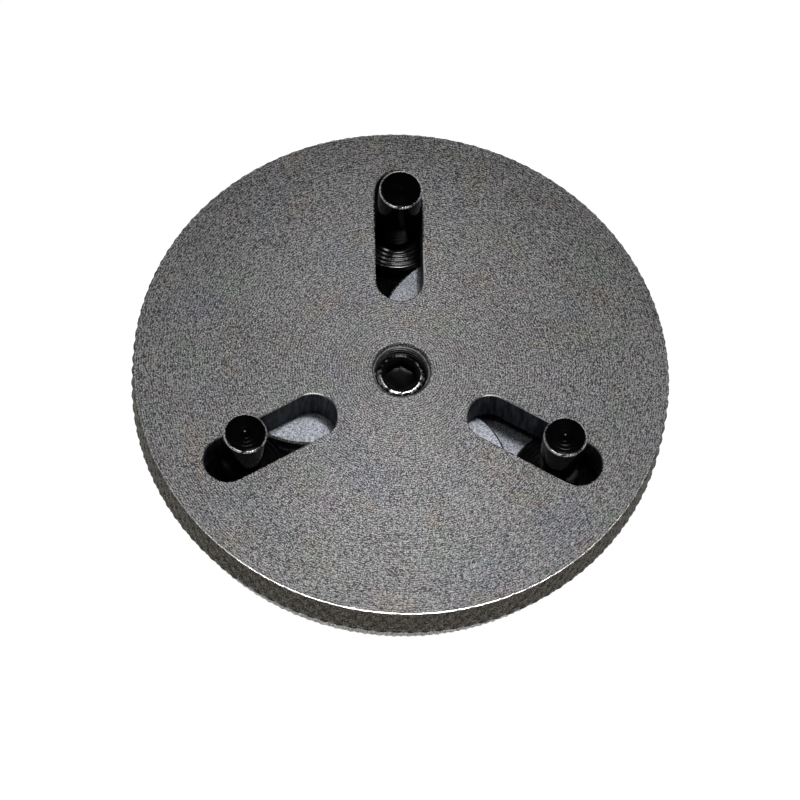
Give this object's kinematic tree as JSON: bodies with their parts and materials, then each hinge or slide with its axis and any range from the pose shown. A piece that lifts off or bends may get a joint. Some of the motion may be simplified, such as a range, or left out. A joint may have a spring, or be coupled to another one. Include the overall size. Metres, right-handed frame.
{
  "type": "adjustable pin drive plate",
  "caption": "Knurled round drive plate with radial slots, spiral scroll plate behind, sliding drive pins standing proud, and a square-socket boss on the back.",
  "frame": {"origin": "centre of the drive boss's end face, which the plate stands on", "axes": "+Z along the turning axis, out of the pinned face; +Y along the first slot and pin; +X to the right seen with +Y up"},
  "size_m": [0.075, 0.075, 0.0309],
  "materials": {
    "phosphated_plate": "dark grey phosphated turned steel, fine concentric turning marks, diamond-knurled rim",
    "phosphated_boss": "dark grey phosphated turned steel, satin",
    "ground_plate": "light blue-grey milled and ground steel, satin",
    "black_oxide": "glossy oiled black oxide with turned end faces",
    "black_follower": "glossy black oxide with turned rings",
    "black_screw": "glossy black oxide socket screws",
    "spring_steel": "bright tempered spring steel",
    "bronze": "plain bearing bronze"
  },
  "bodies": {
    "scroll_side": {"scroll_plate": "ground_plate", "drive_boss": "phosphated_boss", "boss_screw_1": "black_screw", "boss_screw_2": "black_screw", "boss_screw_3": "black_screw", "pivot_screw": "black_screw", "wave_washer": "spring_steel", "thrust_washer": "bronze"},
    "slotted_disc": {"knurled_disc": "phosphated_plate"},
    "pin_slider_1": {"pin_1": "black_oxide", "follower_1": "black_follower"},
    "pin_slider_2": {"pin_2": "black_oxide", "follower_2": "black_follower"},
    "pin_slider_3": {"pin_3": "black_oxide", "follower_3": "black_follower"}
  },
  "joints": [
    {"name": "disc_turn", "type": "hinge", "parent": "scroll_side", "child": "slotted_disc", "pos_m": [0, 0, 0.0191], "axis": [0, 0, 1], "range_deg": [-8.9, 38.4]},
    {"name": "pin_1_slide", "type": "slide", "parent": "slotted_disc", "child": "pin_slider_1", "axis": [0, 1, 0], "range_m": [-0.0112, 0.0026]},
    {"name": "pin_2_slide", "type": "slide", "parent": "slotted_disc", "child": "pin_slider_2", "axis": [-0.866, -0.5, 0], "range_m": [-0.0112, 0.0026]},
    {"name": "pin_3_slide", "type": "slide", "parent": "slotted_disc", "child": "pin_slider_3", "axis": [0.866, -0.5, 0], "range_m": [-0.0112, 0.0026]}
  ],
  "couplings": [
    {"joint": "pin_1_slide", "follows": "disc_turn", "m_per_rad": -0.0167},
    {"joint": "pin_2_slide", "follows": "disc_turn", "m_per_rad": -0.0167},
    {"joint": "pin_3_slide", "follows": "disc_turn", "m_per_rad": -0.0167}
  ]
}
